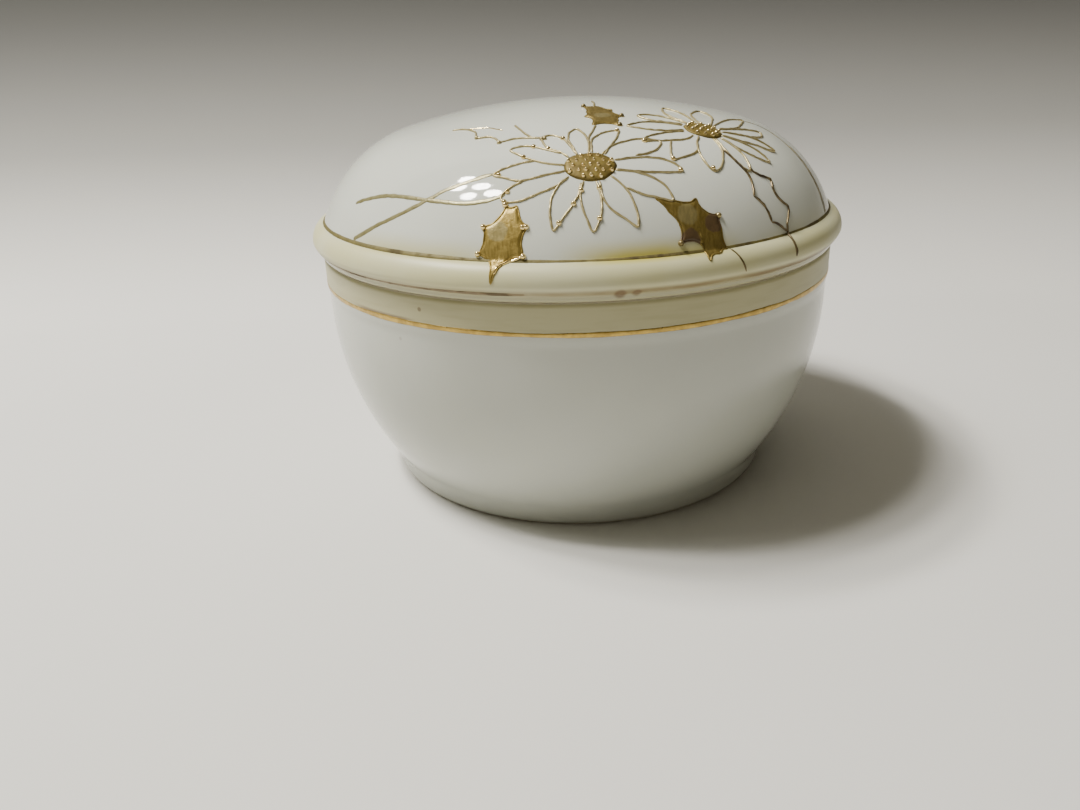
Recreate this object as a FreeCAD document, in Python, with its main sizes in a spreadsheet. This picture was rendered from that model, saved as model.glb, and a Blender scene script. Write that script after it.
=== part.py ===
import FreeCAD, Part
import math
import os
import Sketcher
from FreeCAD import Vector

# A round porcelain trinket box, closed, standing on its foot ring.
# The origin is the middle of the foot ring, +Z is up and -Y is the decorated front.
# The bowl and the lid are the two loose pieces. The raised gilding is laid on the glaze,
# so each gilded motif is a thin solid of its own that sits exactly on the porcelain.

DIMENSIONS = {
    # bowl: radii and heights of its turned half-section
    "foot_inner_radius": 31.6,
    "foot_outer_radius": 34.4,
    "foot_height": 2.76,
    "foot_rounding": 0.7,
    "waist_rounding": 1.5,
    "recess_radius": 31.0,
    "recess_height": 1.6,
    "belly_arc_radius": 48.8,
    "belly_radius": 43.4,
    "belly_height": 31.0,
    "shoulder_height": 33.2,
    "band_radius": 43.6,
    "band_height": 34.4,
    "seat_height": 39.6,
    "mouth_radius": 40.6,
    "inner_arc_radius": 46.0,
    "floor_corner_radius": 32.55,
    "floor_height": 5.0,
    "floor_rounding": 5.0,
    "rim_rounding": 0.6,
    # lid: radii and heights of its turned half-section
    "seat_outer_radius": 42.9,
    "lip_radius": 43.2,
    "lip_height": 39.7,
    "edge_radius": 43.95,
    "edge_height": 40.5,
    "bulge_radius": 45.0,
    "bulge_height": 42.0,
    "lip_arc_radius": 2.2,
    "bulge_arc_radius": 2.85,
    "dome_foot_radius": 42.8,
    "shoulder_arc_radius": 21.84,
    "crown_edge_radius": 28.0,
    "crown_arc_radius": 106.7,
    "crown_height": 62.3,
    "lid_wall": 2.8,
    "flange_inner_radius": 37.6,
    "flange_outer_radius": 39.9,
    "flange_foot_height": 36.2,
    "flange_root_height": 39.0,
    "cavity_crown_edge_radius": 27.27,
    "cavity_foot_radius": 39.85,
    "cavity_radius": 38.2,
    "cavity_height": 40.6,
    "flange_rounding": 0.6,
    # gilding
    "bowl_line_height": 35.15,
    "bowl_line_radius": 0.35,
    "lid_line_inner_radius": 42.3,
    "lid_line_outer_radius": 43.35,
    "lid_line_waist_radius": 42.95,
    "lid_line_foot_height": 44.4,
    "lid_line_waist_height": 45.0,
    "lid_line_top_height": 45.5,
    "edge_line_radius": 0.22,
    "raised_height": 0.35,
    "centre_height": 0.7,
    "stroke_width": 0.55,
    "band_clearance": 0.3,
    "petal_root_gap": 1.32,
    "petal_tip_gap": 0.66,
    "leaf_gap": 1.05,
    "cutter_base": 42.0,
    "cutter_length": 22.0,
}

# Motifs are drawn on the unrolled lid: distance and direction from the crown, in millimetres
# measured along the glaze, with +v to the back. "centre" is the eye of a daisy, "eye" its two
# half-widths, and each petal is (direction in degrees, length, half-width).
LARGE_DAISY = {
    "centre": (0.8, -35.2),
    "eye": (3.3, 2.6),
    "petals": [
        (-122, 11.0, 1.5), (-91, 10.2, 1.5), (-57, 11.0, 1.5), (-24, 10.6, 1.5),
        (4, 12.8, 1.5), (35, 12.0, 1.6), (66, 10.9, 1.5), (96, 10.7, 1.4),
        (125, 10.6, 1.4), (152, 12.0, 1.3), (177, 13.2, 1.2), (203, 12.2, 1.3),
    ],
}
SMALL_DAISY = {
    "centre": (18.3, -22.0),
    "eye": (2.8, 2.8),
    "petals": [
        (-88, 10.9, 1.5), (-118, 10.8, 1.4), (-146, 6.6, 0.9), (-176, 10.6, 1.4), (154, 10.2, 1.4),
        (116, 10.6, 1.5), (83, 11.4, 1.5), (52, 11.8, 1.4), (28, 11.4, 1.2),
        (5, 10.8, 1.2), (-20, 10.4, 1.3), (-50, 10.0, 1.5),
    ],
}
# Prickly leaves: every point is a prickle and the side between two prickles is hollow.
LEAVES = {
    "left_leaf": [
        (-11.2, -40.9), (-9.2, -41.6), (-8.9, -43.7), (-9.9, -47.4), (-15.4, -50.6),
        (-16.5, -45.4), (-15.1, -42.1),
    ],
    "right_leaf": [
        (10.0, -41.0), (15.6, -38.9), (19.5, -40.2), (21.4, -44.4), (18.3, -47.5), (13.6, -45.9),
    ],
    "back_leaf": [
        (1.3, -12.3), (5.4, -14.6), (6.5, -18.2), (6.0, -23.0), (2.8, -22.8), (1.0, -18.4),
    ],
}
OUTLINED_LEAF = [
    (25.4, -30.4), (28.4, -29.6), (32.3, -32.2), (32.9, -36.0), (29.3, -36.7), (25.4, -34.6),
]
STEMS = {
    "left_stems": [
        [(-37.8, -29.4), (-30.0, -33.2), (-24.0, -34.2), (-19.0, -34.2), (-14.2, -33.6)],
        [(-36.2, -24.0), (-30.0, -28.5), (-24.5, -33.0), (-20.0, -36.3), (-15.5, -38.2)],
    ],
    "back_twig": [
        [(-18.8, -17.0), (-16.3, -18.2), (-15.0, -21.5), (-13.2, -24.0), (-11.6, -25.6), (-8.6, -25.6)],
        [(-9.3, -20.5), (-8.6, -23.0), (-8.2, -26.2)],
    ],
    "right_stem": [
        [(28.5, -9.5), (32.0, -11.5), (35.5, -14.3), (39.0, -17.4), (42.0, -20.6)],
    ],
    "back_stem": [
        [(3.0, -7.5), (3.1, -9.5), (3.0, -11.6)],
    ],
}


def make_sheet(doc):
    """Write the driving dimensions to the spreadsheet, each with a word for its alias."""
    sheet = doc.addObject("Spreadsheet::Sheet", "dims")
    for row, (alias, number) in enumerate(DIMENSIONS.items(), start=1):
        sheet.set(f"A{row}", alias)
        sheet.set(f"B{row}", str(number))
        sheet.setAlias(f"B{row}", alias)
    doc.recompute()
    return sheet


doc = FreeCAD.newDocument("trinket_box")
sheet = make_sheet(doc)
size = {alias: float(sheet.get(alias)) for alias in DIMENSIONS}


# ---------------------------------------------------------------- the dome's own geometry

crown_angle = math.asin(size["crown_edge_radius"] / size["crown_arc_radius"])
crown_edge_height = size["crown_height"] - size["crown_arc_radius"] * (1 - math.cos(crown_angle))
shoulder_centre = Vector(
    size["crown_edge_radius"] - size["shoulder_arc_radius"] * math.sin(crown_angle),
    crown_edge_height - size["shoulder_arc_radius"] * math.cos(crown_angle),
    0,
)
crown_length = size["crown_arc_radius"] * crown_angle


def shoulder_height(radius, offset=0.0):
    """Height of the shoulder arc, moved out by offset, at a distance from the axis."""
    reach = size["shoulder_arc_radius"] + offset
    return shoulder_centre.y + math.sqrt(reach ** 2 - (radius - shoulder_centre.x) ** 2)


dome_foot_height = shoulder_height(size["dome_foot_radius"])
dome_foot_angle = math.asin(
    (size["dome_foot_radius"] - shoulder_centre.x) / size["shoulder_arc_radius"]
)
dome_length = crown_length + size["shoulder_arc_radius"] * (dome_foot_angle - crown_angle)


def plan(point):
    """Plan position of a point drawn on the unrolled lid."""
    along = math.hypot(*point)
    if along <= crown_length:
        radius = size["crown_arc_radius"] * math.sin(along / size["crown_arc_radius"])
    elif along <= dome_length:
        angle = crown_angle + (along - crown_length) / size["shoulder_arc_radius"]
        radius = shoulder_centre.x + size["shoulder_arc_radius"] * math.sin(angle)
    else:
        limit = size["bulge_radius"] - size["band_clearance"]
        radius = min(size["dome_foot_radius"] + (along - dome_length), limit)
    return Vector(point[0] * radius / along, point[1] * radius / along, 0)


# ---------------------------------------------------------------- turned porcelain

FREE = "free"


def formula_value(formula):
    """Value of 'alias', 'alias + alias' or 'alias - alias'."""
    words = formula.split()
    if len(words) == 1:
        return size[words[0]]
    other = size[words[2]]
    return size[words[0]] + (other if words[1] == "+" else -other)


def formula_text(formula):
    """The same formula as an expression that reads the sheet."""
    return " ".join(word if word in "+-" else f"dims.{word}" for word in formula.split())


def bind(sketch, kind, references, formula):
    """Add a dimension to a sketch and bind it to the sheet."""
    constraint = Sketcher.Constraint(kind, *references, formula_value(formula))
    index = sketch.addConstraint(constraint)
    sketch.setExpression(f"Constraints[{index}]", formula_text(formula))


def corner(radius, height, start_height=None):
    """A section corner: None is the axis or the ground, FREE follows from the arcs that meet."""
    x = 0.0 if radius is None else formula_value(radius)
    y = start_height if height == FREE else 0.0 if height is None else formula_value(height)
    return radius, height, Vector(x, y, 0)


def arc_middle(start, end, radius):
    """Middle of the arc between two points; a positive radius bulges to the left of the chord."""
    chord = end - start
    sagitta = abs(radius) - math.sqrt(radius ** 2 - (chord.Length / 2) ** 2)
    left = Vector(-chord.y, chord.x, 0).normalize()
    return (start + end) * 0.5 + left * math.copysign(sagitta, radius)


def origin_plane(body, role):
    """The named plane of a body's own origin."""
    return next(item for item in body.Origin.OriginFeatures if item.Role == role)


def half_section(body, corners, arcs, centred=()):
    """Draw a closed half-section on the XZ plane, with every size bound to the sheet.

    arcs: {side number: (radius formula, side it bulges to, True if tangent to the next side)}.
    centred: arcs whose centre lies on the axis.
    """
    sketch = body.newObject("Sketcher::SketchObject", body.Name + "_section")
    sketch.AttachmentSupport = [(origin_plane(body, "XZ_Plane"), "")]
    sketch.MapMode = "FlatFace"
    count = len(corners)
    start_of = []
    for side in range(count):
        start = corners[side][2]
        end = corners[(side + 1) % count][2]
        if side in arcs:
            formula, bulge, _ = arcs[side]
            middle = arc_middle(start, end, bulge * formula_value(formula))
            sketch.addGeometry(Part.Arc(start, middle, end), False)
        else:
            sketch.addGeometry(Part.LineSegment(start, end), False)
        is_start = sketch.getPoint(side, 1).distanceToPoint(start) < 1e-6
        start_of.append(1 if is_start else 2)
    for side in range(count):
        after = (side + 1) % count
        meeting = "Tangent" if side in arcs and arcs[side][2] else "Coincident"
        pair = (side, 3 - start_of[side], after, start_of[after])
        sketch.addConstraint(Sketcher.Constraint(meeting, *pair))
    for side, (radius, height, _) in enumerate(corners):
        point = (side, start_of[side])
        if radius is None:
            sketch.addConstraint(Sketcher.Constraint("PointOnObject", *point, -2))
        else:
            bind(sketch, "DistanceX", (-1, 1, *point), radius)
        if height is None:
            sketch.addConstraint(Sketcher.Constraint("PointOnObject", *point, -1))
        elif height != FREE:
            bind(sketch, "DistanceY", (-1, 1, *point), height)
    for side in centred:
        sketch.addConstraint(Sketcher.Constraint("PointOnObject", side, 3, -2))
    for side, (formula, _, _) in arcs.items():
        bind(sketch, "Radius", (side,), formula)
    return sketch


def turned_body(name, corners, arcs, centred=()):
    """A body turned about +Z from its half-section."""
    body = doc.addObject("PartDesign::Body", name)
    sketch = half_section(body, corners, arcs, centred)
    turning = body.newObject("PartDesign::Revolution", name + "_turning")
    turning.Profile = sketch
    turning.ReferenceAxis = (sketch, ["V_Axis"])
    turning.Angle = 360
    doc.recompute()
    return body


def round_edges(body, name, alias, places):
    """Round the circular edges that lie at the given (radius, height) places."""
    tip = body.Tip
    edges = []
    for number, edge in enumerate(tip.Shape.Edges, start=1):
        if edge.Degenerated or not isinstance(edge.Curve, Part.Circle):
            continue
        for radius, height in places:
            off = math.hypot(edge.Curve.Radius - radius, edge.Curve.Center.z - height)
            if off < 0.02:
                edges.append(f"Edge{number}")
    if len(edges) != len(places):
        raise RuntimeError(f"{name}: found {len(edges)} of {len(places)} edges")
    fillet = body.newObject("PartDesign::Fillet", name)
    fillet.Base = (tip, edges)
    fillet.setExpression("Radius", f"dims.{alias}")
    body.Tip = fillet
    doc.recompute()


def make_bowl():
    """Foot ring, bellied wall, straight band at the top and the hollow inside."""
    corners = [
        corner("foot_inner_radius", None),
        corner("foot_outer_radius", None),
        corner("foot_outer_radius", "foot_height"),
        corner("belly_radius", "belly_height"),
        corner("belly_radius", "shoulder_height"),
        corner("band_radius", "band_height"),
        corner("band_radius", "seat_height"),
        corner("mouth_radius", "seat_height"),
        corner("mouth_radius", "belly_height"),
        corner("floor_corner_radius", "floor_height"),
        corner(None, "floor_height"),
        corner(None, "recess_height"),
        corner("recess_radius", "recess_height"),
    ]
    arcs = {
        2: ("belly_arc_radius", -1, False),
        8: ("inner_arc_radius", 1, False),
    }
    bowl = turned_body("bowl", corners, arcs)
    foot = [(size["foot_inner_radius"], 0), (size["foot_outer_radius"], 0)]
    rim = [
        (size["band_radius"], size["seat_height"]),
        (size["mouth_radius"], size["seat_height"]),
    ]
    waist = [(size["foot_outer_radius"], size["foot_height"])]
    floor = [(size["floor_corner_radius"], size["floor_height"])]
    round_edges(bowl, "foot_edges", "foot_rounding", foot)
    round_edges(bowl, "waist_edge", "waist_rounding", waist)
    round_edges(bowl, "rim_edges", "rim_rounding", rim)
    round_edges(bowl, "floor_edge", "floor_rounding", floor)
    return bowl


def outer_lid_corners():
    """The lid's outside from the bulge of its band up to the crown."""
    return [
        corner("bulge_radius", "bulge_height"),
        corner("dome_foot_radius", FREE, dome_foot_height),
        corner("crown_edge_radius", FREE, crown_edge_height),
        corner(None, "crown_height"),
    ]


def make_lid():
    """Locating flange, flat seat, bulging band and low dome, hollow underneath."""
    inner_angle_height = crown_edge_height - size["lid_wall"] * math.cos(crown_angle)
    inner_foot_height = shoulder_height(size["cavity_foot_radius"], -size["lid_wall"])
    corners = [
        corner("flange_inner_radius", "flange_foot_height"),
        corner("flange_outer_radius", "flange_foot_height"),
        corner("flange_outer_radius", "seat_height"),
        corner("seat_outer_radius", "seat_height"),
        corner("lip_radius", "lip_height"),
        corner("edge_radius", "edge_height"),
        *outer_lid_corners(),
        corner(None, "crown_height - lid_wall"),
        corner("cavity_crown_edge_radius", FREE, inner_angle_height),
        corner("cavity_foot_radius", FREE, inner_foot_height),
        corner("cavity_radius", "cavity_height"),
        corner("flange_inner_radius", "flange_root_height"),
    ]
    arcs = {
        5: ("lip_arc_radius", -1, False),
        6: ("bulge_arc_radius", -1, False),
        7: ("shoulder_arc_radius", -1, True),
        8: ("crown_arc_radius", -1, False),
        10: ("crown_arc_radius - lid_wall", 1, True),
        11: ("shoulder_arc_radius - lid_wall", 1, False),
    }
    lid = turned_body("lid", corners, arcs, centred=(8, 10))
    foot = [
        (size["flange_inner_radius"], size["flange_foot_height"]),
        (size["flange_outer_radius"], size["flange_foot_height"]),
    ]
    round_edges(lid, "flange_edges", "flange_rounding", foot)
    return lid


def make_lid_outside():
    """A solid with the lid's outside and no hollow: the surface that the gilding is laid on."""
    corners = [*outer_lid_corners(), corner(None, "bulge_height")]
    arcs = {
        0: ("bulge_arc_radius", -1, False),
        1: ("shoulder_arc_radius", -1, True),
        2: ("crown_arc_radius", -1, False),
    }
    return turned_body("lid_outside", corners, arcs, centred=(2,))


# ---------------------------------------------------------------- gilding

SEAM_TURN = 20  # degrees, so that a ring's seam doesn't lie on the seam of the porcelain


def feature(kind, name, **links):
    """A document feature with its links set."""
    made = doc.addObject(kind, name)
    for prop, target in links.items():
        setattr(made, prop, target)
    return made


def gold_line(name, radius, height, thickness, porcelain):
    """A raised line round a piece: a torus less the porcelain it is laid on."""
    ring = doc.addObject("Part::Torus", name + "_ring")
    ring.setExpression("Radius1", formula_text(radius))
    ring.setExpression("Radius2", formula_text(thickness))
    ring.Placement.Rotation = FreeCAD.Rotation(Vector(0, 0, 1), SEAM_TURN)
    ring.setExpression("Placement.Base.z", formula_text(height))
    line = feature("Part::Cut", name, Base=ring, Tool=porcelain)
    doc.recompute()
    return line


def make_lid_line():
    """The raised line in the crease between the lid's band and its dome."""
    corners = [
        corner("lid_line_inner_radius", "lid_line_foot_height"),
        corner("lid_line_outer_radius", "lid_line_foot_height"),
        corner("lid_line_outer_radius", "lid_line_waist_height"),
        corner("lid_line_waist_radius", "lid_line_top_height"),
        corner("lid_line_inner_radius", "lid_line_top_height"),
    ]
    ring = turned_body("lid_line_ring", corners, {})
    line = feature("Part::Cut", "lid_line", Base=ring, Tool=lid_outside)
    doc.recompute()
    return line


def raised_skin(name, height):
    """The lid's outside grown by the height of the gilding."""
    skin = feature("Part::Offset", name, Source=lid_outside, Join=2)
    skin.setExpression("Value", formula_text(height))
    doc.recompute()
    return skin


def spline(points, closed=False):
    """A smooth curve through plan points."""
    curve = Part.BSplineCurve()
    curve.interpolate(Points=points, PeriodicFlag=closed)
    return curve


def turned(point, centre, degrees):
    """A point given along and across a direction, placed round a centre on the unrolled lid."""
    angle = math.radians(degrees)
    return (
        centre[0] + point[0] * math.cos(angle) - point[1] * math.sin(angle),
        centre[1] + point[0] * math.sin(angle) + point[1] * math.cos(angle),
    )


def petal_outline(centre, degrees, root, tip, width):
    """Closed curve of one petal: narrow at the eye, widest past the middle, blunt at the tip."""
    reach = tip - root
    half = [(0.30, 0.62), (0.62, 1.0), (0.88, 0.72)]
    points = [(root, 0.0)]
    points += [(root + reach * along, width * across) for along, across in half]
    points += [(tip, 0.0)]
    points += [(root + reach * along, -width * across) for along, across in reversed(half)]
    return spline([plan(turned(point, centre, degrees)) for point in points], closed=True)


def petal_geometry(daisy):
    """The outer and inner outlines of a daisy's petals."""
    stroke = size["stroke_width"]
    root = max(daisy["eye"]) + stroke
    inner_root = root + size["petal_root_gap"]
    curves = []
    for degrees, length, width in daisy["petals"]:
        inner = (inner_root, length - size["petal_tip_gap"], width - stroke)
        curves.append(petal_outline(daisy["centre"], degrees, root, length, width))
        curves.append(petal_outline(daisy["centre"], degrees, *inner))
    return curves


def eye_geometry(daisy):
    """Oval outline of a daisy's eye."""
    wide, deep = daisy["eye"]
    middle_u, middle_v = daisy["centre"]
    count = 12
    rim = []
    for step in range(count):
        angle = step * 2 * math.pi / count
        rim.append((middle_u + wide * math.cos(angle), middle_v + deep * math.sin(angle)))
    return [spline([plan(point) for point in rim], closed=True)]


def leaf_geometry(prickles, hollow=0.13):
    """Outline with hollow sides between prickles."""
    points = [plan(point) for point in prickles]
    middle = sum(points, Vector()) * (1 / len(points))
    sides = []
    for start, end in zip(points, points[1:] + points[:1]):
        centre = (start + end) * 0.5
        dip = centre + (middle - centre).normalize() * (end - start).Length * hollow
        sides.append(Part.Arc(start, dip, end))
    return sides


def outlined_leaf_geometry(prickles):
    """The leaf's outline drawn as a stroke: a leaf with a smaller leaf left open inside."""
    middle = [sum(values) / len(prickles) for values in zip(*prickles)]
    inner = []
    for point in prickles:
        shrink = 1 - size["leaf_gap"] / math.dist(point, middle)
        inner.append([m + (p - m) * shrink for p, m in zip(point, middle)])
    return leaf_geometry(prickles) + leaf_geometry(inner)


def stroke_geometry(path):
    """A ribbon of the stroke's width along a path on the unrolled lid."""
    sides = {1: [], -1: []}
    for index, point in enumerate(path):
        before = path[max(index - 1, 0)]
        after = path[min(index + 1, len(path) - 1)]
        length = math.dist(before, after)
        across = (-(after[1] - before[1]) / length, (after[0] - before[0]) / length)
        for side in sides:
            shift = side * size["stroke_width"] / 2
            sides[side].append(plan((point[0] + across[0] * shift, point[1] + across[1] * shift)))
    left, right = sides[1], sides[-1]
    ends = [Part.LineSegment(left[0], right[0]), Part.LineSegment(left[-1], right[-1])]
    return [spline(left), spline(right), *ends]


def cutter(name, geometry):
    """A tall prism over a plan outline."""
    sketch = doc.addObject("Sketcher::SketchObject", name + "_outline")
    sketch.setExpression("Placement.Base.z", "dims.cutter_base")
    sketch.addGeometry(geometry, False)
    prism = feature("Part::Extrusion", name + "_prism", Base=sketch, DirMode="Normal", Solid=True)
    prism.FaceMakerClass = "Part::FaceMakerBullseye"
    prism.setExpression("LengthFwd", "dims.cutter_length")
    doc.recompute()
    return prism


def motif(name, outlines, skin, clear_of=None):
    """Raised gilding: what the outlines cut from the skin outside the porcelain."""
    prisms = [cutter(f"{name}_{number}", outline) for number, outline in enumerate(outlines)]
    shape = prisms[0]
    if len(prisms) > 1:
        shape = feature("Part::MultiFuse", name + "_prisms", Shapes=prisms)
    raised = feature("Part::Common", name + "_raised", Base=shape, Tool=skin)
    made = feature("Part::Cut", name + "_on_glaze", Base=raised, Tool=lid_outside)
    if clear_of:
        made = feature("Part::Cut", name + "_trimmed", Base=made, Tool=clear_of)
    doc.recompute()
    return made


def finish(node, name):
    """Name the file that a sub-part is written to."""
    node.Label = name
    nodes.append(node)


# ---------------------------------------------------------------- the box

nodes = []
bowl = make_bowl()
lid = make_lid()
lid_outside = make_lid_outside()
finish(bowl, "bowl")
finish(lid, "lid")

bowl_line = gold_line("bowl_line", "band_radius", "bowl_line_height", "bowl_line_radius", bowl)
lid_line = make_lid_line()
edge_line = gold_line("edge_line", "edge_radius", "edge_height", "edge_line_radius", lid)
finish(bowl_line, "bowl_gold_line")
finish(lid_line, "lid_gold_line")
finish(edge_line, "lid_edge_line")

low_skin = raised_skin("low_skin", "raised_height")
high_skin = raised_skin("high_skin", "centre_height")
for title, daisy in (("large_daisy", LARGE_DAISY), ("small_daisy", SMALL_DAISY)):
    finish(motif(title + "_eye_work", [eye_geometry(daisy)], high_skin), title + "_eye")
    finish(motif(title + "_petal_work", [petal_geometry(daisy)], low_skin), title + "_petals")
for title, prickles in LEAVES.items():
    finish(motif(title + "_work", [leaf_geometry(prickles)], low_skin, lid_line), title)
outlined = [outlined_leaf_geometry(OUTLINED_LEAF)]
finish(motif("outlined_leaf_work", outlined, low_skin, lid_line), "outlined_leaf")
for title, paths in STEMS.items():
    finish(motif(title + "_work", [stroke_geometry(path) for path in paths], low_skin), title)

doc.recompute()
for item in doc.Objects:
    if {"Invalid", "Error"} & set(item.State):
        raise RuntimeError(f"{item.Label}: {item.State}")
os.makedirs("parts", exist_ok=True)
for node in nodes:
    shape = node.Shape
    if shape.isNull() or not shape.isValid() or not shape.Solids:
        raise RuntimeError(f"{node.Label}: the shape is not a valid solid")
    print(f"{node.Label}: {len(shape.Solids)} solids, {shape.Volume:.2f} mm3")
    shape.exportStep(f"parts/{node.Label}.step")
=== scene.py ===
import math
import random

import bmesh
import bpy
from mathutils import Matrix, Vector, noise


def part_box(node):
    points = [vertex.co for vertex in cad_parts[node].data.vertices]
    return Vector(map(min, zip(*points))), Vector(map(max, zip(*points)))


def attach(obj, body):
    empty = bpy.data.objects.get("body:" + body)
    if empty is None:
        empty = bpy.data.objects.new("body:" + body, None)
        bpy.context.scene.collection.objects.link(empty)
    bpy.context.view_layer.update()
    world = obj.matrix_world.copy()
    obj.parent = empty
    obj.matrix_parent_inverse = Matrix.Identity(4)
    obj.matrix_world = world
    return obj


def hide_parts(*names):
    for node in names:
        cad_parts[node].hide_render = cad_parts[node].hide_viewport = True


# The looks of a round porcelain trinket box: glazed bowl and lid, gold lines and raised gilt
# daisies. Shapes are worked out in millimetres, like the CAD model, and written in metres.

MM = 0.001
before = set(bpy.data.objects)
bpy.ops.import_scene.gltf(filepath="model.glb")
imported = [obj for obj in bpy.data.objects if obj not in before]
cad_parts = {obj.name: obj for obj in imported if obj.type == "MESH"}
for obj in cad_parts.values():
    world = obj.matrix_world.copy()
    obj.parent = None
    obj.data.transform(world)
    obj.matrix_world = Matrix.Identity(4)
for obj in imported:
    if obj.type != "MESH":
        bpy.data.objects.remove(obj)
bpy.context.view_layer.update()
random.seed(7)


# ---------------------------------------------------------------- sizes, from the frame

def extent(node):
    """Lowest and highest corner of a CAD node, in millimetres."""
    low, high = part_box(node)
    return low / MM, high / MM


bowl_low, bowl_high = extent("bowl")
lid_low, lid_high = extent("lid")
line_low, line_high = extent("bowl_gold_line")

SEAT = bowl_high.z                     # the bowl's rim, where the lid rests
CROWN = lid_high.z                     # top of the dome
BULGE = (lid_high.x - lid_low.x) / 2   # largest radius of the lid
BULGE_Z = SEAT + 2.4
BAND_TOP = (bowl_high.x - bowl_low.x) / 2
FLANGE_FOOT = lid_low.z
BOWL_LINE_Z = (line_low.z + line_high.z) / 2
CROWN_ARC = 106.7                      # radii of the arcs that make the dome and the band
CROWN_EDGE = 28.0
SHOULDER_ARC = 21.84
DOME_FOOT = 42.8
BULGE_ARC = 2.85
LIP_ARC = 3.0
SEAT_ARC = 0.75
MOUTH = 40.6                           # radius of the bowl's opening
WALL = 2.8                             # thickness of the lid
EDGE_Z = SEAT + 1.2                    # the worn line along the band's lower edge
RAISED = 0.22                          # height and width of the gilt lines over the glaze
STROKE = 0.34
STEP = 0.28                            # distance between points along a gilt line

crown_angle = math.asin(CROWN_EDGE / CROWN_ARC)
crown_edge_z = CROWN - CROWN_ARC * (1 - math.cos(crown_angle))
shoulder_r = CROWN_EDGE - SHOULDER_ARC * math.sin(crown_angle)
shoulder_z = crown_edge_z - SHOULDER_ARC * math.cos(crown_angle)
foot_angle = math.asin((DOME_FOOT - shoulder_r) / SHOULDER_ARC)
dome_foot_z = shoulder_z + SHOULDER_ARC * math.cos(foot_angle)
CROWN_LENGTH = CROWN_ARC * crown_angle
DOME_LENGTH = CROWN_LENGTH + SHOULDER_ARC * (foot_angle - crown_angle)


def arc_centre(start, end, radius, left):
    """Centre of the arc from start to end that bulges to the left, or the right, of the chord."""
    dx, dz = end[0] - start[0], end[1] - start[1]
    chord = math.hypot(dx, dz)
    reach = math.sqrt(radius ** 2 - (chord / 2) ** 2) * (1 if left else -1)
    middle = ((start[0] + end[0]) / 2, (start[1] + end[1]) / 2)
    return middle[0] + dz / chord * reach, middle[1] - dx / chord * reach


bulge_r, bulge_z = arc_centre((BULGE, BULGE_Z), (DOME_FOOT, dome_foot_z), BULGE_ARC, left=False)
band_angle = math.atan2(DOME_FOOT - bulge_r, dome_foot_z - bulge_z)


def on_lid(point, lift=0.0):
    """Place and normal on the lid's glaze of a point drawn on the unrolled lid.

    The drawing gives distance and direction from the crown, measured along the glaze.
    """
    along = max(math.hypot(*point), 1e-6)
    if along <= CROWN_LENGTH:
        angle = along / CROWN_ARC
        radius = CROWN_ARC * math.sin(angle)
        height = CROWN - CROWN_ARC * (1 - math.cos(angle))
    elif along <= DOME_LENGTH:
        angle = crown_angle + (along - CROWN_LENGTH) / SHOULDER_ARC
        radius = shoulder_r + SHOULDER_ARC * math.sin(angle)
        height = shoulder_z + SHOULDER_ARC * math.cos(angle)
    else:
        angle = band_angle + (along - DOME_LENGTH) / BULGE_ARC
        radius = bulge_r + BULGE_ARC * math.sin(angle)
        height = bulge_z + BULGE_ARC * math.cos(angle)
    out = Vector((point[0] / along, point[1] / along, 0))
    normal = out * math.sin(angle) + Vector((0, 0, math.cos(angle)))
    return out * radius + Vector((0, 0, height)) + normal * lift, normal


# ---------------------------------------------------------------- materials

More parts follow.
